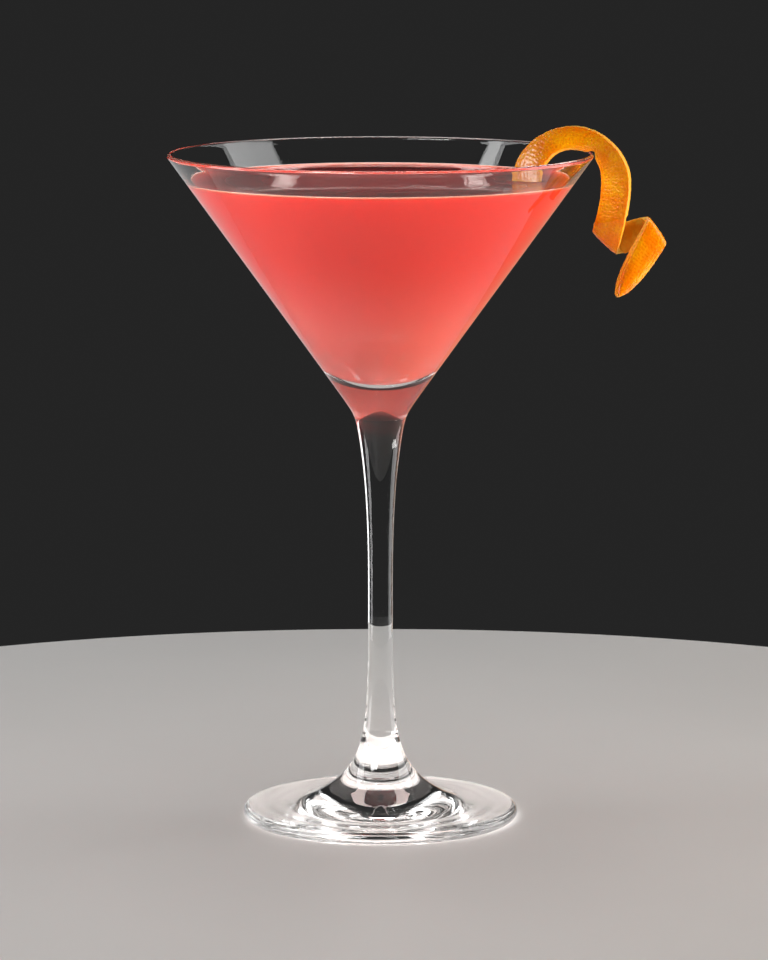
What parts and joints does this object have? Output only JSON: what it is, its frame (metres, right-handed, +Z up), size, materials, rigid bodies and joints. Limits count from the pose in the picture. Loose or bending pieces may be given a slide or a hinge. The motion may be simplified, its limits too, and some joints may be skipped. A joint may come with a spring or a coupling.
{
  "type": "cosmopolitan cocktail",
  "caption": "Stemmed cone glass filled nearly to the brim with a pink drink, with a curled strip of orange peel hung over the rim.",
  "frame": {"origin": "on the axis of the glass, at the underside of its foot", "axes": "+Z up the stem, +X from the axis towards the orange peel, +Y away from the viewer who has the peel on the right"},
  "size_m": [0.1332, 0.1132, 0.1872],
  "materials": {
    "clear_glass": "clear, polished",
    "pink_drink": "cloudy coral pink liquid, mirror-smooth surface",
    "orange_peel": "pored, waxy zest outside and a smooth, deeper orange inner side"
  },
  "bodies": {
    "root": {"glass": "clear_glass", "drink": "pink_drink", "orange_twist": "orange_peel"}
  },
  "joints": []
}
